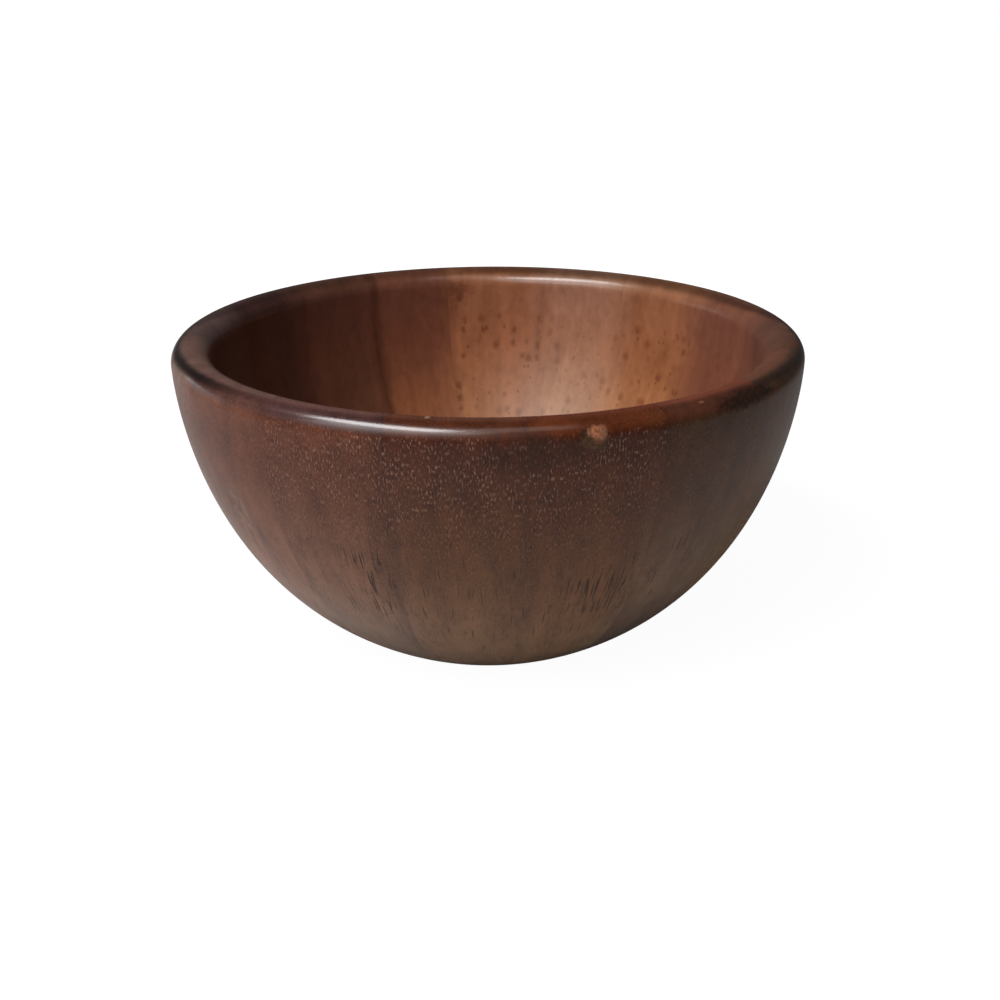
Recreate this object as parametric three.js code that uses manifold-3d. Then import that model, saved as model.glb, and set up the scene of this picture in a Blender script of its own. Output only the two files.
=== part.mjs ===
// A round wooden bowl, turned on a lathe from a ring of glued wedge staves with a disc let into its floor.
// Millimetres, +Z up. The origin is the middle of the flat foot that the bowl stands on.
import * as THREE from "three";
import { mergeVertices, toCreasedNormals } from "three/addons/utils/BufferGeometryUtils.js";
import Module from "manifold-3d";

// Driving sizes of the turned bowl
const rimRadius = 76;
const bowlHeight = 74;
const footRadius = 35.5;
const wallThickness = 9.5;
const floorThickness = 9.8;
const floorFlatRadius = 12;
const rimOuterRound = 4;
const rimInnerRound = 4.7;

// Driving sizes of the disc in the floor: its lip rests on a ledge that is cut in the staves
const footLandWidth = 4.5;
const discLipWidth = 3;
const discLipThickness = 5;

// Glue between neighbours
const glueLine = 0.15;

// How far a cutting shape runs past the wood
const cutOverrun = 5;

// The handles of the wall's two curves, as shares of the flare and of the height that each curve covers
const outsideFootHandleShares = { flare: 0.94, height: 0.3 };
const outsideRimHandleShare = 0.08;
const insideRimHandleShare = 0.52;
const insideFloorHandleShare = 0.58;

// The staves in order round the rim, anticlockwise from the first joint: how wide each one is, as a share of
// them all, how far its first joint passes beside the bowl's axis, as a share of the rim radius, and its wood
const firstJointTurnShare = 8.9 / 360;
const staveShares = [
  { width: 24.8, beside: 0.01, wood: "russet" },
  { width: 21.8, beside: -0.02, wood: "honey" },
  { width: 21.9, beside: -0.02, wood: "amber" },
  { width: 23.9, beside: -0.03, wood: "chestnut" },
  { width: 19.2, beside: -0.09, wood: "umber" },
  { width: 22.0, beside: -0.06, wood: "walnut" },
  { width: 22.2, beside: -0.03, wood: "umber" },
  { width: 22.3, beside: 0.01, wood: "russet" },
  { width: 22.6, beside: 0.02, wood: "walnut" },
  { width: 22.7, beside: 0, wood: "umber" },
  { width: 22.0, beside: -0.02, wood: "russet" },
  { width: 22.0, beside: -0.045, wood: "walnut" },
  { width: 22.0, beside: 0.015, wood: "umber" },
  { width: 22.0, beside: 0.03, wood: "walnut" },
  { width: 24.3, beside: 0.02, wood: "chestnut" },
  { width: 24.3, beside: 0, wood: "russet" },
];

// Facets: round the bowl, along each wall curve, and along each rounded edge of the rim
const facetsAround = 80;
const wallSteps = 10;
const roundSteps = 4;
const creaseAngle = THREE.MathUtils.degToRad(25);

// Colours of the oiled wood, lightest first
const woodColours = {
  honey: 0x9a6238,
  amber: 0x8a5430,
  chestnut: 0x74432a,
  russet: 0x633624,
  umber: 0x52301f,
  walnut: 0x45291d,
};
const woodRoughness = 0.42;

const wasm = await Module();
wasm.setup();

// Solids for joining and cutting

function solidOf(geometry) {
  const bare = geometry.clone();
  bare.deleteAttribute("normal");
  bare.deleteAttribute("uv");
  const merged = mergeVertices(bare);
  const corners = merged.index.array;
  const kept = [];
  for (let i = 0; i < corners.length; i += 3) {
    const [a, b, c] = corners.slice(i, i + 3);
    if (a !== b && b !== c && c !== a) kept.push(a, b, c);
  }
  return new wasm.Manifold(new wasm.Mesh({
    numProp: 3,
    vertProperties: new Float32Array(merged.attributes.position.array),
    triVerts: new Uint32Array(kept),
  }));
}

function geometryOf(solid) {
  const mesh = solid.getMesh();
  const geometry = new THREE.BufferGeometry();
  geometry.setAttribute("position", new THREE.BufferAttribute(new Float32Array(mesh.vertProperties), 3));
  geometry.setIndex(new THREE.BufferAttribute(new Uint32Array(mesh.triVerts), 1));
  return toCreasedNormals(geometry, creaseAngle);
}

// An outline of (radius, height) points, from the axis out and back to it, turned about +Z
function turned(outline) {
  return solidOf(new THREE.LatheGeometry(outline, facetsAround).rotateX(Math.PI / 2));
}

// The turned bowl

// Both edges of the rim are rounded, and share a wall that is too thin for them
const rimRoundFit = Math.min(1, wallThickness / (rimOuterRound + rimInnerRound));
const outerRound = rimOuterRound * rimRoundFit;
const innerRound = rimInnerRound * rimRoundFit;
const insideRadius = rimRadius - wallThickness;

function outsideCurve() {
  const flare = rimRadius - footRadius;
  const top = bowlHeight - outerRound;
  return new THREE.CubicBezierCurve(
    new THREE.Vector2(footRadius, 0),
    new THREE.Vector2(
      footRadius + flare * outsideFootHandleShares.flare,
      top * outsideFootHandleShares.height,
    ),
    new THREE.Vector2(rimRadius, top * (1 - outsideRimHandleShare)),
    new THREE.Vector2(rimRadius, top),
  );
}

function insideCurve() {
  const flare = insideRadius - floorFlatRadius;
  const depth = bowlHeight - innerRound - floorThickness;
  return new THREE.CubicBezierCurve(
    new THREE.Vector2(insideRadius, floorThickness + depth),
    new THREE.Vector2(insideRadius, floorThickness + depth * (1 - insideRimHandleShare)),
    new THREE.Vector2(floorFlatRadius + flare * insideFloorHandleShare, floorThickness),
    new THREE.Vector2(floorFlatRadius, floorThickness),
  );
}

// A quarter round whose middle is (radius, height), from one angle to another
function quarterRound(radius, height, round, from, to) {
  return new THREE.EllipseCurve(radius, height, round, round, from, to).getPoints(roundSteps);
}

function turnedBowl() {
  const outerEdge = quarterRound(
    rimRadius - outerRound, bowlHeight - outerRound, outerRound, 0, Math.PI / 2,
  );
  const innerEdge = quarterRound(
    insideRadius + innerRound, bowlHeight - innerRound, innerRound, Math.PI / 2, Math.PI,
  );
  return turned([
    new THREE.Vector2(0, 0),
    ...outsideCurve().getPoints(wallSteps),
    ...outerEdge.slice(1),
    ...innerEdge,
    ...insideCurve().getPoints(wallSteps).slice(1),
    new THREE.Vector2(0, floorThickness),
  ]);
}

// The disc's stock: a plug with a wider lip above the ledge, grown by a clearance to cut its seat
function discStock(clearance) {
  const plugRadius = footRadius - footLandWidth + clearance;
  const lipRadius = plugRadius + discLipWidth;
  const lipBottom = floorThickness - discLipThickness - clearance;
  return turned([
    new THREE.Vector2(0, -cutOverrun),
    new THREE.Vector2(plugRadius, -cutOverrun),
    new THREE.Vector2(plugRadius, lipBottom),
    new THREE.Vector2(lipRadius, lipBottom),
    new THREE.Vector2(lipRadius, bowlHeight),
    new THREE.Vector2(0, bowlHeight),
  ]);
}

// The joints between the staves: flat, upright planes that run in from the rim

function jointPlanes() {
  const whole = staveShares.reduce((sum, stave) => sum + stave.width, 0);
  let turn = firstJointTurnShare;
  return staveShares.map((stave) => {
    const angle = turn * 2 * Math.PI;
    turn += stave.width / whole;
    const offset = stave.beside * rimRadius;
    const heading = angle - Math.asin(offset / rimRadius);
    return {
      normal: new THREE.Vector2(-Math.sin(heading), Math.cos(heading)),
      along: new THREE.Vector2(Math.cos(heading), Math.sin(heading)),
      offset,
    };
  });
}

// Where two joint planes cross, each one moved along its normal
function crossing(first, firstShift, second, secondShift) {
  const a = first.offset + firstShift;
  const b = second.offset + secondShift;
  const area = first.normal.cross(second.normal);
  return new THREE.Vector2(
    (a * second.normal.y - b * first.normal.y) / area,
    (b * first.normal.x - a * second.normal.x) / area,
  );
}

// The wedge between two joints, half a glue line in from each
function staveWedge(first, second) {
  const reach = 2 * rimRadius;
  const tip = crossing(first, glueLine / 2, second, -glueLine / 2);
  const plan = new THREE.Shape([
    tip,
    tip.clone().addScaledVector(first.along, reach),
    tip.clone().addScaledVector(second.along, reach),
  ]);
  const wedge = new THREE.ExtrudeGeometry(plan, {
    depth: bowlHeight + 2 * cutOverrun,
    bevelEnabled: false,
  });
  return solidOf(wedge.translate(0, 0, -cutOverrun));
}

// Named pieces

function woodMaterial(wood) {
  return new THREE.MeshStandardMaterial({
    color: woodColours[wood],
    roughness: woodRoughness,
    metalness: 0,
  });
}

function piece(name, solid, wood) {
  const mesh = new THREE.Mesh(geometryOf(solid), woodMaterial(wood));
  mesh.name = name;
  return mesh;
}

function staveRing(bowl) {
  const ring = new THREE.Group();
  const blank = bowl.subtract(discStock(glueLine));
  const joints = jointPlanes();
  staveShares.forEach((stave, i) => {
    const wedge = staveWedge(joints[i], joints[(i + 1) % joints.length]);
    const name = `stave_${String(i + 1).padStart(2, "0")}`;
    ring.add(piece(name, blank.intersect(wedge), stave.wood));
  });
  return ring;
}

function baseDisc(bowl) {
  return piece("base_disc", bowl.intersect(discStock(0)), "umber");
}

function woodenBowl() {
  const bowl = turnedBowl();
  const group = new THREE.Group();
  group.add(staveRing(bowl), baseDisc(bowl));
  return group;
}

export default woodenBowl();
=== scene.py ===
"""The looks of a small round wooden bowl of glued staves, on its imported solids. Metres, +Z up."""
import math
import random

import bmesh
import bpy
from mathutils import Matrix, Vector


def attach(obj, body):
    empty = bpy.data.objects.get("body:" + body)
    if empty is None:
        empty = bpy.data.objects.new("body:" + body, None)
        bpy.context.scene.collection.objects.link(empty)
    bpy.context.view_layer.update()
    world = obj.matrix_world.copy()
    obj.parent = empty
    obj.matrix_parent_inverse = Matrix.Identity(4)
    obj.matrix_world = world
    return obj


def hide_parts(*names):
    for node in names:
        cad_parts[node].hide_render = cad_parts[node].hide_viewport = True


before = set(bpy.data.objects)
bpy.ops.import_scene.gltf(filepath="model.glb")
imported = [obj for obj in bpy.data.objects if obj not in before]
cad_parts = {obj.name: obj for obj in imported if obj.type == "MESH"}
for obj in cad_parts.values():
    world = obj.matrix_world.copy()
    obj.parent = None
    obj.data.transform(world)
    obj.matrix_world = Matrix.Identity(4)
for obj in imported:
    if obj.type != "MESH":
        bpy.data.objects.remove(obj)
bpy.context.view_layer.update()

MM = 0.001
FULL_TURN = 2 * math.pi

# Sizes of the turned bowl, as its solids have them
RIM_RADIUS = 76 * MM
BOWL_HEIGHT = 74 * MM
FOOT_RADIUS = 35.5 * MM
WALL_THICKNESS = 9.5 * MM
FLOOR_THICKNESS = 9.8 * MM
FLOOR_FLAT_RADIUS = 12 * MM
RIM_OUTER_ROUND = 4 * MM
RIM_INNER_ROUND = 4.7 * MM
FOOT_LAND_WIDTH = 4.5 * MM
DISC_LIP_WIDTH = 3 * MM
DISC_LIP_THICKNESS = 5 * MM
OUTSIDE_FOOT_HANDLE_SHARES = (0.94, 0.3)
OUTSIDE_RIM_HANDLE_SHARE = 0.08
INSIDE_RIM_HANDLE_SHARE = 0.52
INSIDE_FLOOR_HANDLE_SHARE = 0.58
PLUG_RADIUS = FOOT_RADIUS - FOOT_LAND_WIDTH
LIP_RADIUS = PLUG_RADIUS + DISC_LIP_WIDTH
LIP_BOTTOM = FLOOR_THICKNESS - DISC_LIP_THICKNESS
MIDDLE_RADIUS = 66 * MM

# A joint as it shows: the hairline of glue, and the columns of points beside it
JOINT_GAP = 0.008 * MM
JOINT_COLUMNS = (0.0, 0.12 * MM, 0.4 * MM)

# What a stave's wood has unless its own lines say otherwise. Flecks are pale pores near the rim, partly pale
# filler and partly painted glints off their edges, dashes are long dark pores low on the outside, which
# clusters gather, partly their own dark colour and partly painted shade in their hollows, and spots are soft
# dark dots inside. Stains darken the wood beside either joint, and blends are how far the colour of the
# neighbour there runs in, in millimetres. The last two lines are shares of red, green and blue that change
# the
# colour in one part of the stave: on the rim partly the wood's own tone and partly painted sheen, on the top
# of the outside painted sheen and shade, at the foot a painted reflection of the floor and painted shade, and
# low inside painted light.
PLAIN_WOOD = dict(
    flecks=0.5, dashes=0.15, spots=0.25, stains=(0.0, 0.0), blends=(6.0, 6.0), clusters=(), marks=(),
    rim_outer_tone_and_sheen=(1, 1, 1), rim_inner_tone_and_sheen=(1, 1, 1),
    top_sheen_and_shade=(1, 1, 1), foot_reflection_and_shade=(1, 0.83, 1), low_inside_light=(1, 1, 1),
)

# Marks: the azimuth in degrees, radius and height of the middle and the half sizes round and up, in
# millimetres. Ragged is the size of the noise that frays the edge.
FILLED_CHIP = [
    dict(at=(287.0, 75.2, 68.7), size=(2.0, 1.7), colour=(0.060, 0.035, 0.013), strength=0.45, ragged=1.0),
    dict(at=(285.1, 75.2, 69.9), size=(1.3, 1.7), colour=(0.100, 0.062, 0.022), strength=0.55, ragged=0.8),
    dict(at=(286.9, 75.4, 70.3), size=(1.5, 1.3), colour=(0.200, 0.072, 0.032), strength=0.95, ragged=0.6),
    dict(at=(287.4, 75.4, 71.3), size=(1.1, 1.5), colour=(0.330, 0.145, 0.075), strength=0.75, ragged=0.7),
    dict(at=(286.4, 75.4, 71.5), size=(1.2, 1.3), colour=(0.410, 0.145, 0.070), strength=0.9, ragged=0.6),
    dict(at=(284.5, 75.4, 71.4), size=(0.55, 0.9), colour=(0.028, 0.011, 0.004), strength=0.85, ragged=0.5),
    dict(at=(285.3, 75.5, 71.6), size=(0.22, 0.9), colour=(0.360, 0.200, 0.120), strength=0.7, ragged=0.3),
]
DARK_PATCH = [
    dict(at=(277.0, 75.6, 68.4), size=(9.0, 4.0), colour=(0.040, 0.0095, 0.003), strength=0.58, ragged=3.0),
]
DARK_EDGE = [
    dict(at=(316.5, 75.3, 72.2), size=(9.0, 1.9), colour=(0.035, 0.0130, 0.0070), strength=0.95, ragged=0.8),
]
SMALL_CHIP = [
    dict(at=(306.2, 73.9, 73.5), size=(0.8, 0.35), colour=(0.32, 0.12, 0.06), strength=0.6, ragged=0.3),
]
TINY_CHIP = [
    dict(at=(260.7, 71.0, 74.0), size=(0.5, 0.9), colour=(0.50, 0.30, 0.18), strength=0.7, ragged=0.25),
]
PALE_PATCH = [
    dict(at=(220.3, 73.6, 43.4), size=(3.8, 7.5), colour=(0.27, 0.165, 0.125), strength=0.5, ragged=3.0),
]
KNOT = [
    dict(at=(98.3, 66.2, 68.5), size=(3.4, 3.0), colour=(0.15, 0.040, 0.016), strength=0.6, ragged=1.8),
]

# Where dashes gather
LEFT_DASHES = [
    dict(at=(249.6, 70.5, 32.5), size=(4.8, 12.0), strength=1.0, ragged=3.0),
    dict(at=(237.6, 70.5, 33.0), size=(2.2, 4.0), strength=0.6, ragged=3.0),
]
RIGHT_DASHES = [
    dict(at=(291.5, 69.0, 30.0), size=(8.0, 9.5), strength=1.0, ragged=3.0),
]

# The staves in order round the rim from the first joint: width, how far the first joint passes beside the
# axis as a share of the rim radius, the record's slot, and the colours of the oiled wood within and without
FIRST_JOINT_SHARE = 8.9 / 360
# In the stave lines, the shares for the top of the outside are painted sheen on the left and painted shade at
# the front, those for the foot a painted reflection of the floor and painted shade, those low inside painted
# light, and those of the rim partly the wood's tone and partly painted sheen.
STAVES = [
    dict(
        width=24.8, beside=0.01, wood="russet",
        inside=(0.228, 0.0779, 0.0427), outside=(0.149, 0.0524, 0.0261),
        rim_inner_tone_and_sheen=(1.05, 1.06, 1.08),
    ),
    dict(
        width=21.8, beside=-0.02, wood="honey",
        inside=(0.352, 0.1275, 0.0530), outside=(0.175, 0.0624, 0.0280),
        rim_inner_tone_and_sheen=(1.0, 1.03, 1.12), low_inside_light=(1.1, 1.12, 1.1),
        spots=1.0,
    ),
    dict(
        width=21.9, beside=-0.02, wood="amber",
        inside=(0.395, 0.1720, 0.0938), outside=(0.184, 0.0722, 0.0370),
        rim_inner_tone_and_sheen=(1.04, 1.1, 1.15),
        spots=0.6, stains=(0, 0.12),
    ),
    dict(
        width=23.9, beside=-0.03, wood="chestnut",
        inside=(0.343, 0.1209, 0.0521), outside=(0.173, 0.0609, 0.0278),
        spots=1.0, stains=(0.12, 0), blends=(6.0, 2.8), marks=KNOT,
    ),
    dict(
        width=19.2, beside=-0.09, wood="umber",
        inside=(0.175, 0.0560, 0.0289), outside=(0.134, 0.0460, 0.0224),
        low_inside_light=(1.55, 1.5, 1.3),
        stains=(0.4, 0.5), blends=(2.8, 4.0),
    ),
    dict(
        width=22.0, beside=-0.06, wood="walnut",
        inside=(0.122, 0.0413, 0.0232), outside=(0.124, 0.0434, 0.0215),
        stains=(0.5, 0),
    ),
    dict(
        width=22.2, beside=-0.03, wood="umber",
        inside=(0.069, 0.0220, 0.0155), outside=(0.073, 0.0240, 0.0163),
    ),
    dict(
        width=22.3, beside=0.01, wood="russet",
        inside=(0.112, 0.0545, 0.0450), outside=(0.119, 0.0578, 0.0467),
    ),
    dict(
        width=22.6, beside=0.02, wood="walnut",
        inside=(0.200, 0.0850, 0.0550), outside=(0.214, 0.0920, 0.0618),
        rim_outer_tone_and_sheen=(0.75, 1.08, 1.35), rim_inner_tone_and_sheen=(0.95, 1.0, 1.08), top_sheen_and_shade=(1.2, 1.6, 1.85),
    ),
    dict(
        width=22.7, beside=0.0, wood="umber",
        inside=(0.160, 0.0620, 0.0360), outside=(0.168, 0.0502, 0.0220),
        rim_outer_tone_and_sheen=(0.58, 0.84, 1.55), rim_inner_tone_and_sheen=(1.12, 1.3, 1.65),
        top_sheen_and_shade=(1.18, 1.36, 1.5), foot_reflection_and_shade=(0.65, 0.75, 0.75),
        flecks=0.35, marks=PALE_PATCH,
    ),
    dict(
        width=22.0, beside=-0.02, wood="russet",
        inside=(0.190, 0.0700, 0.0400), outside=(0.143, 0.0468, 0.0218),
        rim_outer_tone_and_sheen=(0.52, 0.7, 1.45), rim_inner_tone_and_sheen=(0.95, 0.95, 1.22),
        top_sheen_and_shade=(1.05, 0.97, 0.94), foot_reflection_and_shade=(0.72, 0.88, 0.95),
        flecks=0.9, stains=(0, 0.4), clusters=LEFT_DASHES,
    ),
    dict(
        width=22.0, beside=-0.045, wood="walnut",
        inside=(0.150, 0.0520, 0.0280), outside=(0.112, 0.0340, 0.0109),
        rim_outer_tone_and_sheen=(0.85, 0.77, 0.85), rim_inner_tone_and_sheen=(1.05, 0.8, 0.6),
        top_sheen_and_shade=(0.76, 0.49, 0.24), foot_reflection_and_shade=(1.12, 1.28, 1.45),
        flecks=1.0, dashes=0.27, stains=(0.35, 0.15), marks=(*DARK_PATCH, *TINY_CHIP),
    ),
    dict(
        width=22.0, beside=0.015, wood="umber",
        inside=(0.170, 0.0550, 0.0270), outside=(0.115, 0.0333, 0.0099),
        rim_outer_tone_and_sheen=(1.1, 0.95, 0.9), rim_inner_tone_and_sheen=(1.0, 0.5, 0.2),
        top_sheen_and_shade=(0.75, 0.53, 0.22), foot_reflection_and_shade=(1.06, 1.26, 1.45),
        flecks=1.0, dashes=0.3, stains=(0.15, 0), clusters=RIGHT_DASHES, marks=(*DARK_PATCH, *FILLED_CHIP),
    ),
    dict(
        width=22.0, beside=0.03, wood="walnut",
        inside=(0.200, 0.0680, 0.0340), outside=(0.130, 0.0520, 0.0238),
        rim_outer_tone_and_sheen=(0.82, 0.7, 0.85), rim_inner_tone_and_sheen=(1.2, 0.8, 0.7),
        top_sheen_and_shade=(0.7, 0.72, 0.5), foot_reflection_and_shade=(0.54, 0.53, 0.62),
        flecks=0.35, clusters=RIGHT_DASHES, marks=(*DARK_EDGE, *SMALL_CHIP),
    ),
    dict(
        width=24.3, beside=0.02, wood="chestnut",
        inside=(0.200, 0.0720, 0.0360), outside=(0.177, 0.0662, 0.0205),
        rim_outer_tone_and_sheen=(0.5, 0.68, 1.2), rim_inner_tone_and_sheen=(1.0, 0.93, 1.0), top_sheen_and_shade=(0.7, 0.57, 0.25),
        flecks=0.2, marks=DARK_EDGE,
    ),
    dict(
        width=24.3, beside=0.0, wood="russet",
        inside=(0.153, 0.0586, 0.0381), outside=(0.166, 0.0681, 0.0414),
        rim_inner_tone_and_sheen=(0.97, 0.97, 0.93),
        flecks=0.3,
    ),
]
DISC = dict(wood="umber", inside=(0.172, 0.0560, 0.0300), outside=(0.16, 0.06, 0.03))
DISC_GRAIN_ORIGIN = Vector((40, -70, 12))

# The grain leans outward with the stave, and wanders a little from one stave to the next. The spread is how
# far off in the wood's noise a stave can be cut from, in millimetres.
GRAIN_LEAN = math.radians(27)
GRAIN_WANDER = math.radians(2.5)
GRAIN_SPREAD = 500
GRAIN_SEED = 7

# How the wood's colour changes down the walls, as shares of its red, green and blue: partly the wood's own
# tone on the rim, and otherwise painted sheen, shade, light and a painted reflection of the floor
# On the rim: the outer tint and each stave's rim shares are partly the wood's own tone and partly painted
# sheen, and the inner tint is a painted sheen on the inner round.
RIM_OUTER_TINT = (0.95, 0.86, 0.80, 1)
RIM_INNER_SHEEN = (1.0, 1.1, 1.15, 1)
# Down the outside the colour turns paler and greyer towards the foot: a painted reflection of the white
# floor.
OUTSIDE_TOP_TINT = (0.77, 0.66, 0.60, 1)
OUTSIDE_FOOT_FLOOR_REFLECTION = (1.75, 2.4, 2.75, 1)
# High on the inside a paler, bluer tint is a painted sheen below the rim's highlight.
INSIDE_TOP_SHEEN = (0.99, 1.04, 1.17, 1)
INSIDE_MIDDLE_TINT = (1, 1, 1, 1)
# Low on the inside a paler tint is painted light, where the wall turns up towards the lamps.
INSIDE_LOW_PAINTED_LIGHT = (1.17, 1.32, 1.18, 1)

# Other colours, and tints as shares of the colour beneath
# The pits' colour is painted shade in the pores' hollows, and also the real glue line's; the flecks' colour
# is partly pale filler and partly painted glint.
PIT_SHADE_AND_GLUE_COLOUR = (0.016, 0.008, 0.005, 1)
# The dashes' colour is partly the pores' own dark and partly painted shade in their hollows.
DASH_COLOUR = (0.026, 0.011, 0.006, 1)
FLECK_FILLER_AND_GLINT_COLOUR = (0.33, 0.185, 0.13, 1)
DARK_SHADE = (0.5, 0.44, 0.4, 1)
PALE_SHADE = (1.5, 1.56, 1.6, 1)
# A painted dark reflection along the rim's crest takes this share of the colour.
CREST_REFLECTION_TINT = (0.09, 0.06, 0.05)
STAIN_TINT = (0.4, 0.33, 0.3)
SPOT_TINT = (0.54, 0.42, 0.36)
MARK_DARK_TINT = (0.55, 0.5, 0.45)
MARK_PALE_TINT = (1.45, 1.55, 1.65)

# Noise within the wood: its size along the grain and across it, in millimetres
FIGURE = dict(along=80, across=6, detail=3.0, rough=0.55)
MOTTLE = dict(along=11, across=6)
STREAKS = dict(along=30, across=1.6)
CREST_WAVER = dict(along=12, across=3)
BLEND_WAVER = dict(along=9, across=3)
STAIN_WAVER = dict(along=14, across=3)

# Noise on the surface: its size up the wall and round the bowl, in millimetres. The shifts keep them apart.
FIBRES = dict(tall=0.8, wide=0.24, rough=0.65)
OUTSIDE_BLOTCHES = dict(tall=4.0, wide=2.4, rough=0.6)
INSIDE_BLOTCHES = dict(tall=3.0, wide=1.8)
GRIT = dict(tall=0.35, wide=0.25, detail=1.0, shift=7.0)
ROUND_PORES = dict(tall=1.0, wide=0.31, detail=1.0, shift=3.0)
PORE_PATCHES = dict(tall=5.0, wide=3.0, rough=0.6, shift=5.0)
LONG_PORES = dict(tall=8.0, wide=0.36, detail=1.0, rough=0.4, shift=11.0)
SHORT_PORES = dict(tall=3.2, wide=0.38, detail=1.0, rough=0.4, shift=29.0)
SPOT_EDGES = dict(tall=1.4, wide=1.0, rough=0.6, shift=17.0)
SPOT_GROUPS = dict(tall=13.0, wide=9.0, detail=1.0, shift=23.0)

# How much the figure, mottle, streaks, blotches, fibres and grit move the tone. The inside has no grit.
OUTSIDE_AMOUNTS = (0.8, 0.7, 0.35, 0.6, 1.2, 0.9)
INSIDE_AMOUNTS = (0.5, 0.5, 0.2, 0.4, 0.2)

# The steps that follow give where a smooth change starts, where it is complete, and the value before and
# after it. These two are 0 and 1 where they aren't given.

# Steps from the outer face (0) over the rim to the inner one (1). The lacquer's weight is that on the outer
# and the inner round.
OUTER_FACE = (0.03, 0.2, 1.0, 0.0)
INNER_FACE = (0.8, 1.0)
INSIDE_WOOD = (0.36, 0.54)
LACQUER_START = (0.0, 0.08)
LACQUER_END = (0.92, 1.0, 1.0, 0.0)
LACQUER_GLOSS = (0.13, 0.235)
LACQUER_WEIGHT = (0.4, 0.6, 0.75, 0.5)

# Steps from left to right, in millimetres: the lacquer is worn on the right
LACQUER_WORN = (20.0, 52.0, 1.0, 0.3)

# Steps of height, in millimetres
OUTSIDE_HEIGHTS = (66.0, 14.0)
TOP_SHEEN_AND_SHADE_HEIGHTS = (61.0, 71.0)
FOOT_REFLECTION_AND_SHADE_HEIGHTS = (32.0, 12.0)
INSIDE_SHEEN_HEIGHTS = (66.0, 54.0)
PAINTED_LIGHT_LOW_HEIGHTS = (56.0, 28.0)
STAVE_LOW_LIGHT_HEIGHTS = (54.0, 32.0)
FLECK_HEIGHTS = (34.0, 64.0)
DASH_HEIGHTS = (52.0, 38.0)
TICK_HEIGHTS = (60.0, 42.0)
SPOT_HEIGHTS = (67.0, 57.0)

# Steps of noise
FLECK_LEVELS = (0.575, 0.68)
PIT_LEVELS = (0.45, 0.33)
PATCH_LEVELS = (0.36, 0.6, 0.35, 1.0)
DASH_LEVELS = (0.69, 0.77)
TICK_LEVELS = (0.61, 0.72)
SPOT_SIZES = (0.3, 1.0, 0.1, 0.5)
SPOT_GROUP_LEVELS = (0.38, 0.52, 0.25, 1.0)
MARK_LEVELS = (0.3, 0.7)

# The painted dark reflection along the rim: where it runs between the outer face (0) and the inner one (1) at
# the near and the far side, how far outward it moves at the left and the right of the near side, its half
# width where it is full and where it ends, and how far it wavers
CREST_NEAR, CREST_FAR = 0.40, 0.62
CREST_LEFT_SHIFT, CREST_RIGHT_SHIFT = 0.15, 0.21
CREST_HALF_WIDTHS = (0.02, 0.14, 1.0, 0.0)
CREST_WAVER_REACH = 0.06
CREST_SIDE_POWER = 4.0

# The dark line's steps, in millimetres: from the near side to the far one, and from left to right
CREST_NEAR_TO_FAR = (-20.0, 30.0, CREST_NEAR, CREST_FAR)
CREST_SHIFT_FADE = (-10.0, 30.0, 1.0, 0.0)
CREST_LEFT_TO_RIGHT = (-1.0, 1.0, CREST_LEFT_SHIFT, CREST_RIGHT_SHIFT)
CREST_FRONT_FADE = (-60.0, -38.0, 0.15, 1.0)
CREST_LEFT_FADE = (-60.0, -20.0, 1.0, 0.7)
CREST_RIGHT_FADE = (20.0, 60.0, 1.0, 0.9)
CREST_FAR_LEFT_ACROSS = (-30.0, 0.0)
CREST_FAR_LEFT_FADE = (-25.0, 8.0, 1.0, 0.5)
CREST_FAR_WIDENING = (0.0, 50.0, 1.0, 1.5)

# Beside a joint: the share of the neighbour's colour there, how far a stain's edge frays and the step that
# it ends with, in millimetres, and the hairline of glue
BLEND_SHARE = 0.5
STAIN_FRAY = 4.0
STAIN_EDGE = (-1.8, 0.9)
GLUE_LINE = (0.0, 0.2, 1.0, 0.0)
GLUE_LINE_OUTSIDE, GLUE_LINE_INSIDE = 0.16, 0.03

# How far noise frays a mark's edge and how soft that edge is, as shares of the mark's half size
MARK_FRAY = 1.5
MARK_SOFTNESS = 0.3
CLUSTER_SOFTNESS = 0.4

# Pores: how strongly each kind shows, what is left of the flecks low down, and how much dashes gain in a
# cluster. The pits are painted shade beside the flecks, which are partly painted glints.
PIT_STRENGTH = 0.75
FLECK_STRENGTH = 0.72
DASH_STRENGTH = 0.75
TICK_STRENGTH = 0.5
LOW_FLECKS = 0.08
DASH_GAIN = 0.17
DASH_ONSET = (0.0, 0.1)

# Soft spots: the size of the cells that hold one each, how the edge frays and fades, and how strongly they
# show
SPOT_CELL_WIDTH = 3.1
SPOT_CELL_HEIGHT = 3.9
SPOT_FRAY = 0.4
SPOT_EDGE = (0.1, 1.2)
SPOT_STRENGTH = 0.8

# The surface: roughness by the fibres, what lacquer makes of it, what pores and marks add, and the lacquer
# itself
FIBRE_ROUGHNESS = (0.2, 0.8, 0.32, 0.42)
LACQUERED_ROUGHNESS = 0.2
HOLLOW_ROUGHNESS = 0.2
MARK_ROUGHNESS = 0.2
MARK_LACQUER_SHARE = 0.2
OIL_IOR = 1.4
LACQUER_ROUGHNESS = 0.17
LACQUER_IOR = 1.6
FIBRE_RELIEF = 0.4
BUMP_STRENGTH = 0.6
BUMP_DEPTH = 0.05 * MM

# Mesh steps, the angle from which an edge is sharp, and the band of faces along the disc's lower edge
WALL_STEPS = 56
ROUND_STEPS = 14
STAVE_COLUMNS = 22
DISC_COLUMNS = 256
SHARP_ANGLE = math.radians(40)
DISC_EDGE_BAND = 0.5 * MM

# How far apart the staves lie in the noise on the surface, in millimetres
STAVE_SPACING = 50


# Outlines, as (radius, height)

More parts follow.
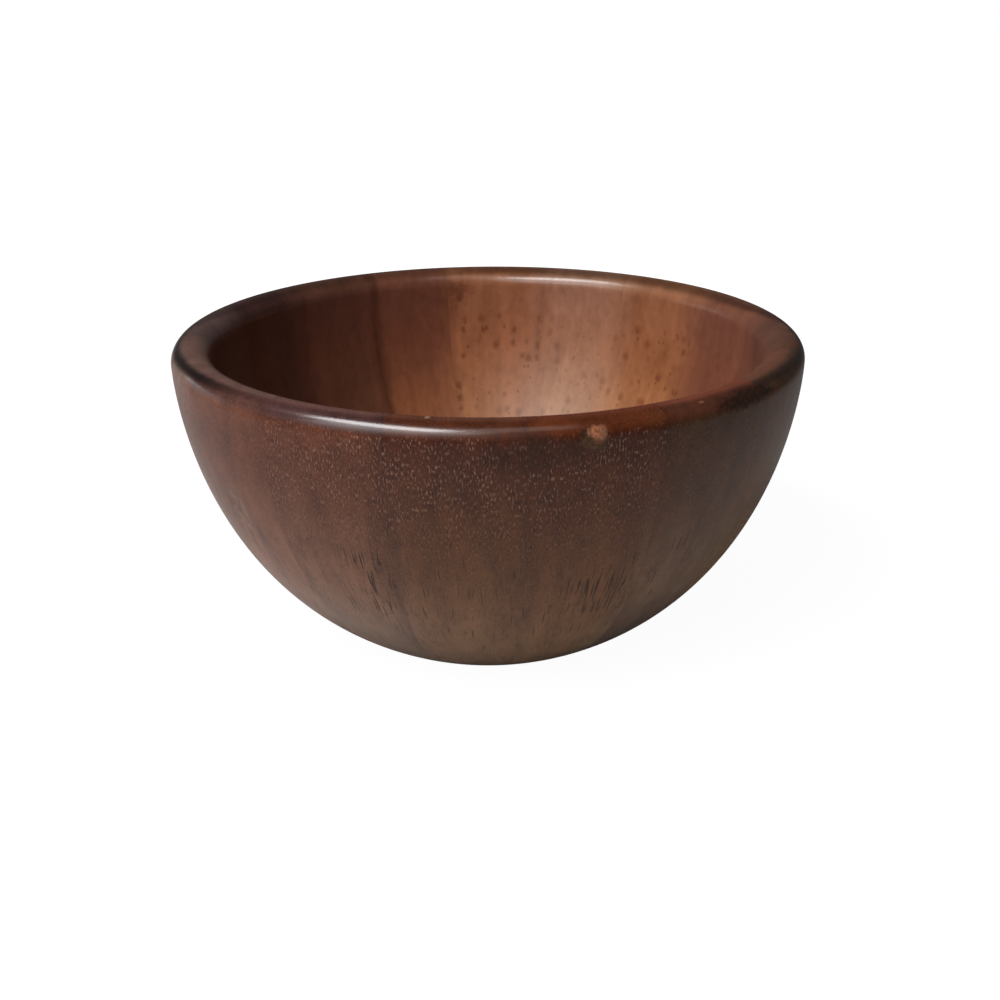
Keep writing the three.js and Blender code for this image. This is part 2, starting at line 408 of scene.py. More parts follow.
def cubic(start, first_handle, second_handle, end, steps):
    points = []
    for i in range(steps + 1):
        t = i / steps
        s = 1 - t
        points.append(
            start * s ** 3 + first_handle * (3 * s * s * t) + second_handle * (3 * s * t * t) + end * t ** 3
        )
    return points


def quarter_round(radius, height, size, start, end):
    angles = [start + (end - start) * i / ROUND_STEPS for i in range(ROUND_STEPS + 1)]
    return [Vector((radius + size * math.cos(a), height + size * math.sin(a))) for a in angles]


def outside_curve():
    flare = RIM_RADIUS - FOOT_RADIUS
    top = BOWL_HEIGHT - RIM_OUTER_ROUND
    flare_share, height_share = OUTSIDE_FOOT_HANDLE_SHARES
    return cubic(
        Vector((FOOT_RADIUS, 0)),
        Vector((FOOT_RADIUS + flare * flare_share, top * height_share)),
        Vector((RIM_RADIUS, top * (1 - OUTSIDE_RIM_HANDLE_SHARE))),
        Vector((RIM_RADIUS, top)),
        WALL_STEPS,
    )


def inside_curve():
    inside_radius = RIM_RADIUS - WALL_THICKNESS
    flare = inside_radius - FLOOR_FLAT_RADIUS
    depth = BOWL_HEIGHT - RIM_INNER_ROUND - FLOOR_THICKNESS
    return cubic(
        Vector((inside_radius, FLOOR_THICKNESS + depth)),
        Vector((inside_radius, FLOOR_THICKNESS + depth * (1 - INSIDE_RIM_HANDLE_SHARE))),
        Vector((FLOOR_FLAT_RADIUS + flare * INSIDE_FLOOR_HANDLE_SHARE, FLOOR_THICKNESS)),
        Vector((FLOOR_FLAT_RADIUS, FLOOR_THICKNESS)),
        WALL_STEPS,
    )


def split_at_radius(curve, radius):
    """The inside curve's points down to a radius, and the ones from there to the axis."""
    for i in range(1, len(curve)):
        if curve[i].x <= radius:
            share = (curve[i - 1].x - radius) / (curve[i - 1].x - curve[i].x)
            edge = curve[i - 1].lerp(curve[i], share)
            return curve[:i] + [edge], [edge] + curve[i:]
    raise ValueError("the inside curve doesn't reach that radius")


def stave_outline():
    """Round the section of a stave: the foot, outside, rim, inside, ledge and bore, as (point, inside).
    Inside runs from 0 on the outer face to 1 on the inner one."""
    outer_edge = quarter_round(
        RIM_RADIUS - RIM_OUTER_ROUND, BOWL_HEIGHT - RIM_OUTER_ROUND, RIM_OUTER_ROUND, 0, math.pi / 2
    )
    inner_edge = quarter_round(
        RIM_RADIUS - WALL_THICKNESS + RIM_INNER_ROUND, BOWL_HEIGHT - RIM_INNER_ROUND, RIM_INNER_ROUND,
        math.pi / 2, math.pi,
    )
    inside, _ = split_at_radius(inside_curve(), LIP_RADIUS + JOINT_GAP)
    bore = PLUG_RADIUS + JOINT_GAP
    seat = LIP_RADIUS + JOINT_GAP
    outline = [(Vector((bore, 0)), 0.0)]
    outline += [(p, 0.0) for p in outside_curve()]
    outline += [(p, 0.5 * i / ROUND_STEPS) for i, p in enumerate(outer_edge)][1:]
    outline += [(p, 0.5 + 0.5 * i / ROUND_STEPS) for i, p in enumerate(inner_edge)]
    outline += [(p, 1.0) for p in inside[1:]]
    outline += [(Vector((seat, LIP_BOTTOM)), 1.0), (Vector((bore, LIP_BOTTOM)), 1.0)]
    return outline


# Joints between the staves

def joints():
    whole = sum(stave["width"] for stave in STAVES)
    turn = FIRST_JOINT_SHARE
    found = []
    for stave in STAVES:
        offset = stave["beside"] * RIM_RADIUS
        found.append((turn * FULL_TURN - math.asin(offset / RIM_RADIUS), offset))
        turn += stave["width"] / whole
    return found


def angle_on_joint(joint, radius, shift):
    """Where the bowl's circle of this radius meets a joint that is moved sideways."""
    heading, offset = joint
    return heading + math.asin((offset + shift) / radius)


# Meshes

def mesh_object(name, mesh):
    made = bpy.data.objects.new(name, mesh)
    bpy.context.scene.collection.objects.link(made)
    return made


def finished_mesh(name, shape):
    bmesh.ops.recalc_face_normals(shape, faces=shape.faces)
    mesh = bpy.data.meshes.new(name)
    shape.to_mesh(mesh)
    shape.free()
    for polygon in mesh.polygons:
        polygon.use_smooth = True
    mesh.set_sharp_from_angle(angle=SHARP_ANGLE)
    return mesh


def grain_axes(azimuth, lean, twist):
    """Along the grain, across it round the bowl, and across it through the wall."""
    out = Vector((math.cos(azimuth), math.sin(azimuth), 0))
    across = Vector((-math.sin(azimuth), math.cos(azimuth), 0))
    along = out * math.sin(lean) + Vector((0, 0, math.cos(lean)))
    along.rotate(Matrix.Rotation(twist, 3, along.cross(across)))
    through = along.cross(across).normalized()
    return along, through.cross(along), through


def place_in_wood(mesh, axes, origin):
    """Stores each point's place along and across the grain, in millimetres."""
    layer = mesh.attributes.new("grain", "FLOAT_VECTOR", "POINT")
    for vertex, value in zip(mesh.vertices, layer.data):
        value.vector = Vector([vertex.co.dot(axis) / MM for axis in axes]) + origin


def lengths_along(outline):
    """How far each point of an outline is along it, in millimetres."""
    lengths = [0.0]
    for (before, _), (after, _) in zip(outline, outline[1:]):
        lengths.append(lengths[-1] + (after - before).length / MM)
    return lengths


def material_layers(shape):
    """What the material reads at each point: its place in the wall, beside the joints and on the surface."""
    inside = shape.verts.layers.float.new("inside")
    joint = shape.verts.layers.float_vector.new("joint")
    wall = shape.verts.layers.float_vector.new("wall")
    return inside, joint, wall


def stave_columns():
    """The columns of points across a stave: how far each is from a joint, and its share of the way across."""
    columns = [(distance, 0.0) for distance in JOINT_COLUMNS]
    columns += [(0.0, i / STAVE_COLUMNS) for i in range(1, STAVE_COLUMNS)]
    columns += [(-distance, 1.0) for distance in reversed(JOINT_COLUMNS)]
    return columns


def stave_points(shape, outline, first, second, number):
    """The stave's points, in one row for each column across it."""
    inside_layer, joint_layer, wall_layer = material_layers(shape)
    middle = (first[0] + second[0]) / 2
    rows = []
    for distance, share in stave_columns():
        row = []
        for ((radius, height), inside), length in zip(outline, lengths_along(outline)):
            start = angle_on_joint(first, radius, JOINT_GAP / 2 + max(distance, 0))
            end = angle_on_joint(second, radius, min(distance, 0) - JOINT_GAP / 2)
            angle = start + (end - start) * share
            across = (angle - middle) * MIDDLE_RADIUS / MM + STAVE_SPACING * number
            vert = shape.verts.new((radius * math.cos(angle), radius * math.sin(angle), height))
            vert[inside_layer] = inside
            vert[wall_layer] = (across, length, number)
            vert[joint_layer] = (
                (angle - angle_on_joint(first, radius, 0)) * radius / MM,
                (angle_on_joint(second, radius, 0) - angle) * radius / MM,
                0,
            )
            row.append(vert)
        rows.append(row)
    return rows


def stave_mesh(name, first, second, number):
    outline = stave_outline()
    shape = bmesh.new()
    rows = stave_points(shape, outline, first, second, number)
    count = len(outline)
    for left, right in zip(rows, rows[1:]):
        for i in range(count):
            j = (i + 1) % count
            shape.faces.new((left[i], right[i], right[j], left[j]))
    shape.faces.new(rows[0])
    shape.faces.new(list(reversed(rows[-1])))
    return finished_mesh(name, shape)


def disc_mesh(name):
    _, floor = split_at_radius(inside_curve(), LIP_RADIUS)
    outline = [
        (Vector((PLUG_RADIUS - DISC_EDGE_BAND, 0)), 0.0),
        (Vector((PLUG_RADIUS, 0)), 0.0),
        (Vector((PLUG_RADIUS, LIP_BOTTOM)), 0.0),
        (Vector((LIP_RADIUS, LIP_BOTTOM)), 1.0),
    ]
    outline += [(p, 1.0) for p in floor]
    shape = bmesh.new()
    inside_layer, joint_layer, wall_layer = material_layers(shape)
    rings = []
    for (radius, height), inside in outline:
        edge = LIP_RADIUS if inside else PLUG_RADIUS
        ring = []
        for i in range(DISC_COLUMNS):
            angle = FULL_TURN * i / DISC_COLUMNS
            vert = shape.verts.new((radius * math.cos(angle), radius * math.sin(angle), height))
            vert[inside_layer] = inside
            vert[joint_layer] = ((edge - radius) / MM, (edge - radius) / MM, 0)
            vert[wall_layer] = vert.co / MM
            ring.append(vert)
        rings.append(ring)
    for low, high in zip(rings, rings[1:]):
        for i in range(DISC_COLUMNS):
            j = (i + 1) % DISC_COLUMNS
            shape.faces.new((low[i], low[j], high[j], high[i]))
    for ring, height, inside in ((rings[0], 0.0, 0.0), (rings[-1], FLOOR_THICKNESS, 1.0)):
        middle = shape.verts.new((0, 0, height))
        middle[inside_layer] = inside
        middle[joint_layer] = (LIP_RADIUS / MM, LIP_RADIUS / MM, 0)
        for i in range(DISC_COLUMNS):
            shape.faces.new((ring[i], ring[(i + 1) % DISC_COLUMNS], middle))
    return finished_mesh(name, shape)


# Materials

class Graph:
    """Adds nodes to a tree. An input that is a socket is linked, and any other is set as a value."""

    def __init__(self, tree):
        self.tree = tree
        tree.nodes.clear()

    def put(self, socket, value):
        if isinstance(value, bpy.types.NodeSocket):
            self.tree.links.new(value, socket)
        else:
            socket.default_value = value

    def node(self, kind, inputs=None, **settings):
        made = self.tree.nodes.new(kind)
        for name, value in settings.items():
            setattr(made, name, value)
        for name, value in (inputs or {}).items():
            self.put(made.inputs[name], value)
        return made

    def maths(self, operation, *values):
        made = self.node("ShaderNodeMath", operation=operation)
        for socket, value in zip(made.inputs, values):
            self.put(socket, value)
        return made.outputs[0]

    def vector_maths(self, operation, *values):
        made = self.node("ShaderNodeVectorMath", operation=operation)
        for socket, value in zip(made.inputs, values):
            self.put(socket, value)
        return made.outputs["Value" if operation in ("DOT_PRODUCT", "LENGTH") else "Vector"]

    def product(self, *values):
        result = values[0]
        for value in values[1:]:
            result = self.maths("MULTIPLY", result, value)
        return result

    def noise(self, vector, detail=2.0, rough=0.5):
        made = self.node(
            "ShaderNodeTexNoise", {"Vector": vector, "Scale": 1.0, "Detail": detail, "Roughness": rough}
        )
        return made.outputs["Fac"]

    def step(self, value, low, high, start=0.0, end=1.0):
        made = self.node(
            "ShaderNodeMapRange",
            {"Value": value, "From Min": low, "From Max": high, "To Min": start, "To Max": end},
            interpolation_type="SMOOTHSTEP",
        )
        return made.outputs[0]

    def float_mix(self, factor, first, second):
        made = self.node("ShaderNodeMix", data_type="FLOAT")
        for socket, value in zip(made.inputs[0:1] + made.inputs[2:4], (factor, first, second)):
            self.put(socket, value)
        return made.outputs[0]

    def mix(self, factor, first, second):
        made = self.node("ShaderNodeMix", data_type="RGBA")
        colour_inputs = [socket for socket in made.inputs if socket.type == "RGBA"]
        self.put(made.inputs[0], factor)
        self.put(colour_inputs[0], first)
        self.put(colour_inputs[1], second)
        return [socket for socket in made.outputs if socket.type == "RGBA"][0]


def tinted(rgb, shares):
    return (*(c * s for c, s in zip(rgb, shares)), 1.0)


class Wood:
    """The coordinates that a piece's material works from, in millimetres."""

    def __init__(self, g):
        self.g = g
        self.grain = g.node("ShaderNodeAttribute", attribute_name="grain").outputs["Vector"]
        self.wall = g.node("ShaderNodeAttribute", attribute_name="wall").outputs["Vector"]
        self.through = g.node("ShaderNodeAttribute", attribute_name="inside").outputs["Fac"]
        self.inner = g.step(self.through, *INNER_FACE)
        self.outer = g.step(self.through, *OUTER_FACE)
        self.within = g.step(self.through, *INSIDE_WOOD)
        joint = g.node("ShaderNodeAttribute", attribute_name="joint").outputs["Vector"]
        sides = g.node("ShaderNodeSeparateXYZ", {"Vector": joint})
        self.joints = (sides.outputs["X"], sides.outputs["Y"])
        place = g.node("ShaderNodeTexCoord").outputs["Object"]
        self.place = g.vector_maths("MULTIPLY", place, (1 / MM, 1 / MM, 1 / MM))
        self.right, self.far, self.height = g.node("ShaderNodeSeparateXYZ", {"Vector": self.place}).outputs
        self.lacquer = g.product(
            g.step(self.through, *LACQUER_START),
            g.step(self.through, *LACQUER_END),
            g.step(self.right, *LACQUER_WORN),
            g.step(self.through, *LACQUER_GLOSS),
            g.step(self.through, *LACQUER_WEIGHT),
        )

    def in_wood(self, along, across, detail=2.0, rough=0.5):
        """Noise with this size along the grain and across it."""
        scaled = self.g.vector_maths("MULTIPLY", self.grain, (1 / along, 1 / across, 1 / across))
        return self.g.noise(scaled, detail, rough)

    def on_wall(self, tall, wide, detail=2.0, rough=0.5, shift=0.0):
        """Noise with this size up the wall and round the bowl."""
        scaled = self.g.vector_maths("MULTIPLY", self.wall, (1 / wide, 1 / tall, 1.0))
        return self.g.noise(self.g.vector_maths("ADD", scaled, (shift, shift, 0)), detail, rough)


def varied(g, patterns, amounts):
    """A share about one half that these patterns move, each by its amount."""
    share = 0.5 - sum(amounts) / 2
    for pattern, amount in zip(patterns, amounts):
        share = g.maths("ADD", share, g.maths("MULTIPLY", pattern, amount))
    return share


def wood_pattern(g, wood, fibres):
    """How dark (0) or pale (1) the patterns of the wood make each place."""
    figure, mottle, streaks = (wood.in_wood(**noise) for noise in (FIGURE, MOTTLE, STREAKS))
    outside = (figure, mottle, streaks, wood.on_wall(**OUTSIDE_BLOTCHES), fibres, wood.on_wall(**GRIT))
    inside = (figure, mottle, streaks, wood.on_wall(**INSIDE_BLOTCHES), fibres)
    return g.float_mix(wood.within, varied(g, outside, OUTSIDE_AMOUNTS), varied(g, inside, INSIDE_AMOUNTS))


def blend_to_neighbours(g, wood, colour, reaches, neighbours):
    """Beside a joint the colour drifts halfway to the neighbour's."""
    uneven = g.maths("ADD", wood.in_wood(**BLEND_WAVER), 0.5)
    for distance, other, reach in zip(wood.joints, neighbours, reaches):
        theirs = g.mix(wood.within, (*other["outside"], 1), (*other["inside"], 1))
        near = g.step(g.maths("DIVIDE", distance, uneven), 0.0, reach, BLEND_SHARE, 0.0)
        colour = g.mix(near, colour, theirs)
    return colour


def changed_with_height(g, wood, tint, heights, shares):
    """The tint, with these shares of it from the end height on."""
    if shares == (1, 1, 1):
        return tint
    return g.mix(g.step(wood.height, *heights), tint, g.vector_maths("MULTIPLY", tint, shares))


def place_tint(g, wood, looks):
    """How the colour changes down the outside, over the rim and down the inside, mostly by painted light,
    sheen, shade and floor reflection.
    """
    outside = g.mix(g.step(wood.height, *OUTSIDE_HEIGHTS), OUTSIDE_TOP_TINT, OUTSIDE_FOOT_FLOOR_REFLECTION)
    outside = changed_with_height(g, wood, outside, TOP_SHEEN_AND_SHADE_HEIGHTS, looks["top_sheen_and_shade"])
    outside = changed_with_height(g, wood, outside, FOOT_REFLECTION_AND_SHADE_HEIGHTS, looks["foot_reflection_and_shade"])
    inside = g.mix(g.step(wood.height, *INSIDE_SHEEN_HEIGHTS), INSIDE_TOP_SHEEN, INSIDE_MIDDLE_TINT)
    inside = g.mix(g.step(wood.height, *PAINTED_LIGHT_LOW_HEIGHTS), inside, INSIDE_LOW_PAINTED_LIGHT)
    inside = changed_with_height(g, wood, inside, STAVE_LOW_LIGHT_HEIGHTS, looks["low_inside_light"])
    outer_rim = tinted(RIM_OUTER_TINT, looks["rim_outer_tone_and_sheen"])
    inner_rim = tinted(RIM_INNER_SHEEN, looks["rim_inner_tone_and_sheen"])
    rim = g.mix(wood.within, outer_rim, inner_rim)
    return g.mix(wood.outer, g.mix(wood.inner, rim, inside), outside)


def plain_tone(g, wood, looks, neighbours, fibres):
    """The wood's own colour and patterns, with the painted light, shade and sheen that change it from place
    to place.
    """
    colour = g.mix(wood.within, (*looks["outside"], 1), (*looks["inside"], 1))
    colour = blend_to_neighbours(g, wood, colour, looks["blends"], neighbours)
    shade = g.mix(wood_pattern(g, wood, fibres), DARK_SHADE, PALE_SHADE)
    return g.vector_maths("MULTIPLY", g.vector_maths("MULTIPLY", colour, place_tint(g, wood, looks)), shade)


def crest_middle(g, wood):
    """Where the rim's painted dark reflection runs, between the outer face (0) and the inner one (1)."""
    sideways = g.maths("ABSOLUTE", g.maths("MULTIPLY", wood.right, MM / RIM_RADIUS))
    outward = g.product(
        g.maths("POWER", sideways, CREST_SIDE_POWER),
        g.step(wood.right, *CREST_LEFT_TO_RIGHT),
        g.step(wood.far, *CREST_SHIFT_FADE),
    )
    return g.maths("SUBTRACT", g.step(wood.far, *CREST_NEAR_TO_FAR), outward)


def crest_strength(g, wood):
    """The dark line fades out at the front, and is weaker at the sides and most of all at the far left."""
    sides = g.product(g.step(wood.right, *CREST_LEFT_FADE), g.step(wood.right, *CREST_RIGHT_FADE))
    far_left = g.maths(
        "MAXIMUM", g.step(wood.right, *CREST_FAR_LEFT_ACROSS), g.step(wood.far, *CREST_FAR_LEFT_FADE)
    )
    return g.product(g.step(wood.far, *CREST_FRONT_FADE), sides, far_left)


def paint_crest_reflection(g, wood, tone):
    """A painted dark reflection along the top of the rim."""
    waver = g.maths("SUBTRACT", wood.in_wood(**CREST_WAVER), 0.5)
    away = g.maths("ABSOLUTE", g.maths("SUBTRACT", wood.through, crest_middle(g, wood)))
    away = g.maths("ADD", away, g.maths("MULTIPLY", waver, CREST_WAVER_REACH))
    away = g.maths("DIVIDE", away, g.step(wood.far, *CREST_FAR_WIDENING))
    band = g.product(g.step(away, *CREST_HALF_WIDTHS), crest_strength(g, wood))
    return g.mix(band, tone, g.vector_maths("MULTIPLY", tone, CREST_REFLECTION_TINT))


def add_stains(g, wood, tone, stains):
    for distance, strength in zip(wood.joints, stains):
        if strength:
            ragged = g.maths("MULTIPLY", wood.in_wood(**STAIN_WAVER), STAIN_FRAY)
            near = g.step(g.maths("SUBTRACT", distance, ragged), *STAIN_EDGE, strength, 0.0)
            tone = g.mix(near, tone, g.vector_maths("MULTIPLY", tone, STAIN_TINT))
    return tone


def local_mask(g, wood, spot, soft):
    """The spot's strength within a ragged blot and zero away from it, and the noise that frays its edge."""
    azimuth, radius, height = spot["at"]
    turn = math.radians(azimuth)
    across, tall = spot["size"]
    away = g.vector_maths("SUBTRACT", wood.place, (radius * math.cos(turn), radius * math.sin(turn), height))
    sideways = g.vector_maths("DOT_PRODUCT", away, (-math.sin(turn) / across, math.cos(turn) / across, 0))
    outward = g.vector_maths("DOT_PRODUCT", away, (math.cos(turn) / tall, math.sin(turn) / tall, 0))
    up = g.vector_maths("DOT_PRODUCT", away, (0, 0, 1 / tall))
    scaled = g.node("ShaderNodeCombineXYZ", {"X": sideways, "Y": outward, "Z": up})
    per_grain = 1 / spot["ragged"]
    uneven = g.noise(g.vector_maths("MULTIPLY", wood.place, (per_grain, per_grain, per_grain)), rough=0.6)
    distance = g.vector_maths("LENGTH", scaled.outputs[0])
    distance = g.maths("ADD", distance, g.maths("MULTIPLY", g.maths("SUBTRACT", uneven, 0.5), MARK_FRAY))
    return g.step(distance, 1.0 - soft, 1.0 + soft, spot["strength"], 0.0), uneven


def add_flecks(g, wood, tone, flecks):
    """Pale flecks, partly pale filler and partly painted glints off the pores' edges, with painted shade in
    pits beside them, high on the outside.
    """
    grit = wood.on_wall(**ROUND_PORES)
    patchy = g.step(wood.on_wall(**PORE_PATCHES), *PATCH_LEVELS)
    high = g.product(g.step(wood.height, *FLECK_HEIGHTS, LOW_FLECKS, flecks), wood.outer, patchy)
    fleck = g.product(g.step(grit, *FLECK_LEVELS), high)
    pit = g.product(g.step(grit, *PIT_LEVELS), high)
    tone = g.mix(g.maths("MULTIPLY", pit, PIT_STRENGTH), tone, PIT_SHADE_AND_GLUE_COLOUR)
    tone = g.mix(g.maths("MULTIPLY", fleck, FLECK_STRENGTH), tone, FLECK_FILLER_AND_GLINT_COLOUR)
    return tone, g.maths("MAXIMUM", pit, fleck)


def add_dashes(g, wood, tone, looks):
    """Short and long dark dashes, low on the outside: dark pores, partly their own colour and partly painted
    shade in their hollows.
    """
    where = g.step(wood.height, *DASH_HEIGHTS, 0.0, looks["dashes"])
    for cluster in looks["clusters"]:
        where = g.maths("MAXIMUM", where, local_mask(g, wood, cluster, CLUSTER_SOFTNESS)[0])
    run = g.maths("ADD", wood.on_wall(**LONG_PORES), g.maths("MULTIPLY", where, DASH_GAIN))
    dash = g.product(g.step(run, *DASH_LEVELS), g.step(where, *DASH_ONSET), wood.outer)
    tick = g.product(
        g.step(wood.on_wall(**SHORT_PORES), *TICK_LEVELS),
        g.step(wood.height, *TICK_HEIGHTS, 0.0, looks["flecks"]),
        wood.outer,
    )
    tone = g.mix(g.maths("MULTIPLY", tick, TICK_STRENGTH), tone, DASH_COLOUR)
    tone = g.mix(g.maths("MULTIPLY", dash, DASH_STRENGTH), tone, DASH_COLOUR)
    return tone, dash


def add_spots(g, wood, tone, strength):
    """Soft dark spots on the inside."""
    scaled = g.vector_maths("MULTIPLY", wood.wall, (1 / SPOT_CELL_WIDTH, 1 / SPOT_CELL_HEIGHT, 0.0))
    cell = g.node("ShaderNodeTexVoronoi", {"Vector": scaled, "Scale": 1.0}, voronoi_dimensions="2D")
    chance = g.node("ShaderNodeSeparateColor", {"Color": cell.outputs["Color"]}).outputs["Green"]
    ragged = g.maths("MULTIPLY", wood.on_wall(**SPOT_EDGES), SPOT_FRAY)
    away = g.maths("ADD", cell.outputs["Distance"], g.maths("SUBTRACT", ragged, SPOT_FRAY / 2))
    spot = g.step(g.maths("DIVIDE", away, g.step(chance, *SPOT_SIZES)), *SPOT_EDGE, strength, 0.0)
    gathered = g.step(wood.on_wall(**SPOT_GROUPS), *SPOT_GROUP_LEVELS)
    dark = g.product(spot, gathered, g.step(wood.height, *SPOT_HEIGHTS), wood.inner)
    return g.mix(g.maths("MULTIPLY", dark, SPOT_STRENGTH), tone, g.vector_maths("MULTIPLY", tone, SPOT_TINT))


def add_mark(g, wood, mark, tone, rough, lacquer):
    """A mark is a blot of its own colour, rougher and with less lacquer than the wood round it."""
    mask, uneven = local_mask(g, wood, mark, MARK_SOFTNESS)
    dark = tinted(mark["colour"], MARK_DARK_TINT)
    pale = tinted(mark["colour"], MARK_PALE_TINT)
    tone = g.mix(mask, tone, g.mix(g.step(uneven, *MARK_LEVELS), dark, pale))
    rough = g.maths("ADD", rough, g.maths("MULTIPLY", mask, MARK_ROUGHNESS))
    return tone, rough, g.product(lacquer, g.float_mix(mask, 1.0, MARK_LACQUER_SHARE))


def add_glue_lines(g, wood, tone):
    nearest = g.maths("MINIMUM", *wood.joints)
    strength = g.float_mix(wood.within, GLUE_LINE_OUTSIDE, GLUE_LINE_INSIDE)
    return g.mix(g.product(g.step(nearest, *GLUE_LINE), strength), tone, PIT_SHADE_AND_GLUE_COLOUR)


def wood_material(name, own, neighbours):
    looks = {**PLAIN_WOOD, **own}
    material = bpy.data.materials.new(name)
    material.use_nodes = True
    g = Graph(material.node_tree)
    wood = Wood(g)
    fibres = wood.on_wall(**FIBRES)
    tone = plain_tone(g, wood, looks, neighbours, fibres)
    tone = add_stains(g, wood, tone, looks["stains"])
    tone = add_spots(g, wood, tone, looks["spots"])
    tone = paint_crest_reflection(g, wood, tone)
    tone, pores = add_flecks(g, wood, tone, looks["flecks"])
    tone, dashes = add_dashes(g, wood, tone, looks)
    hollow = g.maths("MAXIMUM", pores, dashes)
    rough = g.float_mix(wood.lacquer, g.step(fibres, *FIBRE_ROUGHNESS), LACQUERED_ROUGHNESS)
    rough = g.maths("ADD", rough, g.maths("MULTIPLY", hollow, HOLLOW_ROUGHNESS))
    lacquer = wood.lacquer
    for mark in looks["marks"]:
        tone, rough, lacquer = add_mark(g, wood, mark, tone, rough, lacquer)
    relief = g.maths("SUBTRACT", g.maths("MULTIPLY", fibres, FIBRE_RELIEF), hollow)
    bump = g.node("ShaderNodeBump", {"Height": relief, "Strength": BUMP_STRENGTH, "Distance": BUMP_DEPTH})
    shader = g.node(
        "ShaderNodeBsdfPrincipled",
        {
            "Base Color": add_glue_lines(g, wood, tone),
            "Roughness": rough,
            "Normal": bump.outputs[0],
            "IOR": OIL_IOR,
            "Coat Weight": lacquer,
            "Coat Roughness": LACQUER_ROUGHNESS,
            "Coat IOR": LACQUER_IOR,
            "Coat Normal": bump.outputs[0],
        },
    )
    g.node("ShaderNodeOutputMaterial", {"Surface": shader.outputs[0]})
    return material


# Pieces

def make_staves():
    wander = random.Random(GRAIN_SEED)
    planes = joints()
    for i, wood in enumerate(STAVES):
        node = f"stave_{i + 1:02d}"
        first, second = planes[i], planes[(i + 1) % len(planes)]
        if second[0] < first[0]:
            second = (second[0] + FULL_TURN, second[1])
        mesh = stave_mesh(node + "_wood", first, second, i + 1)
        azimuth = (first[0] + second[0]) / 2
        lean = GRAIN_LEAN + wander.uniform(-1, 1) * GRAIN_WANDER
        axes = grain_axes(azimuth, lean, wander.uniform(-1, 1) * GRAIN_WANDER)
        place_in_wood(mesh, axes, Vector([wander.uniform(-GRAIN_SPREAD, GRAIN_SPREAD) for _ in range(3)]))
        neighbours = [STAVES[i - 1], STAVES[(i + 1) % len(STAVES)]]
        mesh.materials.append(wood_material(node + "_oiled", wood, neighbours))
        piece = mesh_object(node + "_wood", mesh)
        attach(piece, "root")
        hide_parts(node)


def make_disc():
    mesh = disc_mesh("base_disc_wood")
    axes = (Vector((0, 1, 0)), Vector((1, 0, 0)), Vector((0, 0, -1)))
    place_in_wood(mesh, axes, DISC_GRAIN_ORIGIN)
    mesh.materials.append(wood_material("base_disc_oiled", DISC, [DISC, DISC]))
    piece = mesh_object("base_disc_wood", mesh)
    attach(piece, "root")
    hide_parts("base_disc")


# Studio

CAMERA_PLACE = Vector((2.67, -319.38, 155.36)) * MM
CAMERA_PITCH = math.radians(21.639)
CAMERA_ROLL = math.radians(-0.276)
CAMERA_LENS = 48.145
CAMERA_SENSOR = 36.0
CAMERA_CLIP = (0.01, 50)

# Soft lights: name, place in metres, width, height and power in watts
LIGHTS = [
    ("overhead_left", (-0.21, -0.172, 0.49), 0.36, 0.125, 1.42),
    ("front_left", (-0.37, -0.49, 0.56), 0.70, 0.50, 2.9),
    ("left_low", (-0.76, 0.30, 0.14), 0.45, 0.25, 0.4),
    ("overhead_right", (0.10, -0.32, 0.77), 0.35, 0.35, 0.25),
]
LIT_PLACE = Vector((0, 0, 0.05))

# The light from all round, and how much of the white surroundings glossy reflections show
AMBIENT = 0.03
WHITE_IN_GLOSS = 0.02

# The floor: its half width, how far it lies below the foot, its grey, its white glow, and the share of the
# glow near the bowl and from half a metre off
FLOOR_HALF_WIDTH = 3.0
FLOOR_DROP = 0.02 * MM
FLOOR_GREY = (0.8, 0.8, 0.8, 1)
FLOOR_GLOW = 1.15
FLOOR_GLOW_SHARE = (0.2, 0.5, 0.84, 1.0)


def make_camera():
    data = bpy.data.cameras.new("camera")
    data.lens = CAMERA_LENS
    data.sensor_width = CAMERA_SENSOR
    data.clip_start, data.clip_end = CAMERA_CLIP
    camera = bpy.data.objects.new("camera", data)
    tilt = Matrix.Rotation(math.pi / 2 - CAMERA_PITCH, 4, "X")
    roll = Matrix.Rotation(CAMERA_ROLL, 4, "Z")
    camera.matrix_world = Matrix.Translation(CAMERA_PLACE) @ tilt @ roll
    bpy.context.scene.collection.objects.link(camera)
    bpy.context.scene.camera = camera


def make_lights():
    for name, place, width, height, power in LIGHTS:
        data = bpy.data.lights.new(name, "AREA")
        data.shape = "RECTANGLE"
        data.size = width
        data.size_y = height
        data.energy = power
        light = bpy.data.objects.new(name, data)
        light.location = place
        light.rotation_euler = (LIT_PLACE - Vector(place)).to_track_quat("-Z", "Y").to_euler()
        bpy.context.scene.collection.objects.link(light)


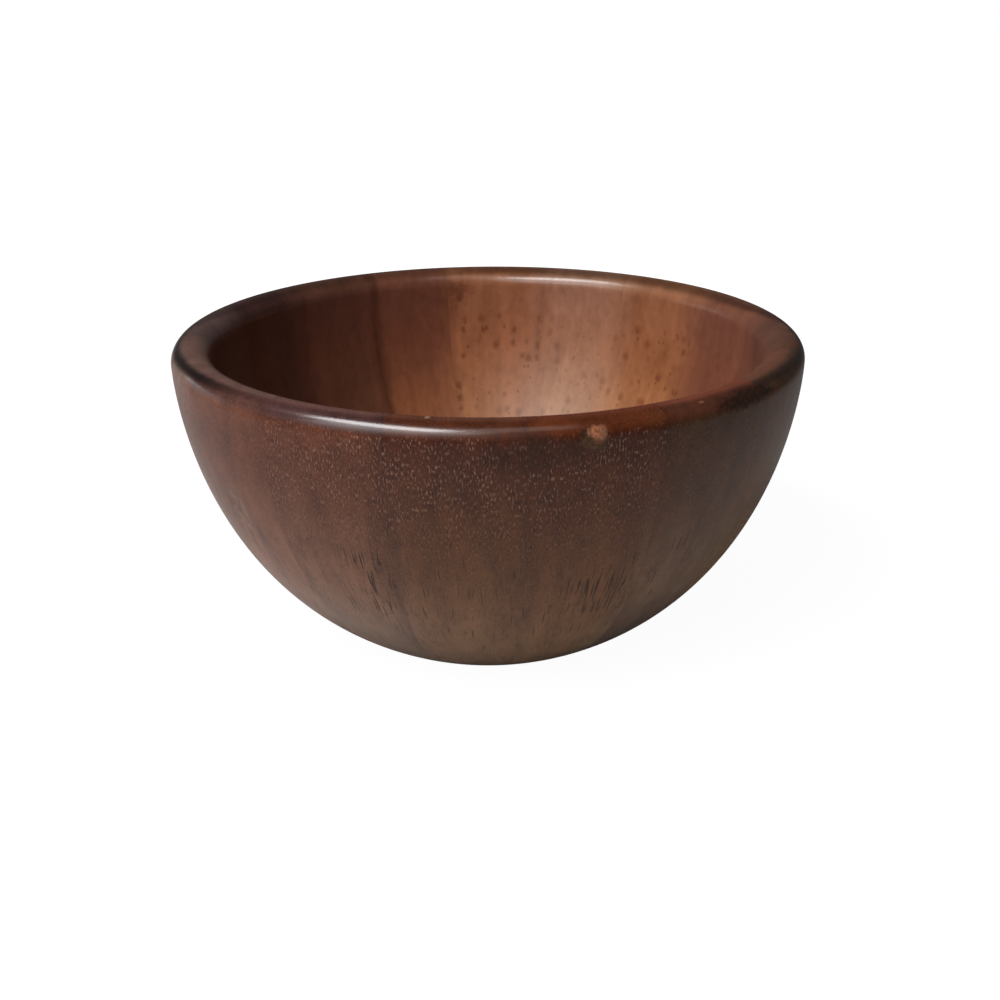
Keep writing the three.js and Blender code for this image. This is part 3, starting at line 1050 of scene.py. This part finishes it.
def sees_white(g, gloss_share):
    """The rays that see the white surroundings: the camera's, and those through or off a surface."""
    path = g.node("ShaderNodeLightPath").outputs
    gloss = g.maths("MULTIPLY", path["Is Glossy Ray"], gloss_share)
    straight = g.maths("MAXIMUM", path["Is Camera Ray"], path["Is Transmission Ray"])
    return g.maths("MAXIMUM", straight, gloss)


def make_world():
    world = bpy.data.worlds.new("studio")
    world.use_nodes = True
    g = Graph(world.node_tree)
    dim = g.node("ShaderNodeBackground", {"Color": (1, 1, 1, 1), "Strength": AMBIENT})
    white = g.node("ShaderNodeBackground", {"Color": (1, 1, 1, 1), "Strength": 1.0})
    both = g.node("ShaderNodeMixShader", {"Fac": sees_white(g, WHITE_IN_GLOSS)})
    g.put(both.inputs[1], dim.outputs[0])
    g.put(both.inputs[2], white.outputs[0])
    g.node("ShaderNodeOutputWorld", {"Surface": both.outputs[0]})
    bpy.context.scene.world = world


def make_floor():
    mesh = bpy.data.meshes.new("floor")
    turns = ((-1, -1), (1, -1), (1, 1), (-1, 1))
    corners = [(x * FLOOR_HALF_WIDTH, y * FLOOR_HALF_WIDTH, -FLOOR_DROP) for x, y in turns]
    mesh.from_pydata(corners, [], [(0, 1, 2, 3)])
    floor = mesh_object("floor", mesh)
    material = bpy.data.materials.new("white_floor")
    material.use_nodes = True
    g = Graph(material.node_tree)
    diffuse = g.node("ShaderNodeBsdfDiffuse", {"Color": FLOOR_GREY})
    white = g.node("ShaderNodeEmission", {"Color": (1, 1, 1, 1), "Strength": FLOOR_GLOW})
    away = g.vector_maths("LENGTH", g.node("ShaderNodeTexCoord").outputs["Object"])
    share = g.product(sees_white(g, WHITE_IN_GLOSS), g.step(away, *FLOOR_GLOW_SHARE))
    both = g.node("ShaderNodeMixShader", {"Fac": share})
    g.put(both.inputs[1], diffuse.outputs[0])
    g.put(both.inputs[2], white.outputs[0])
    g.node("ShaderNodeOutputMaterial", {"Surface": both.outputs[0]})
    mesh.materials.append(material)


make_camera()
make_staves()
make_disc()
make_floor()
make_lights()
make_world()
bpy.context.scene.view_settings.view_transform = "Standard"
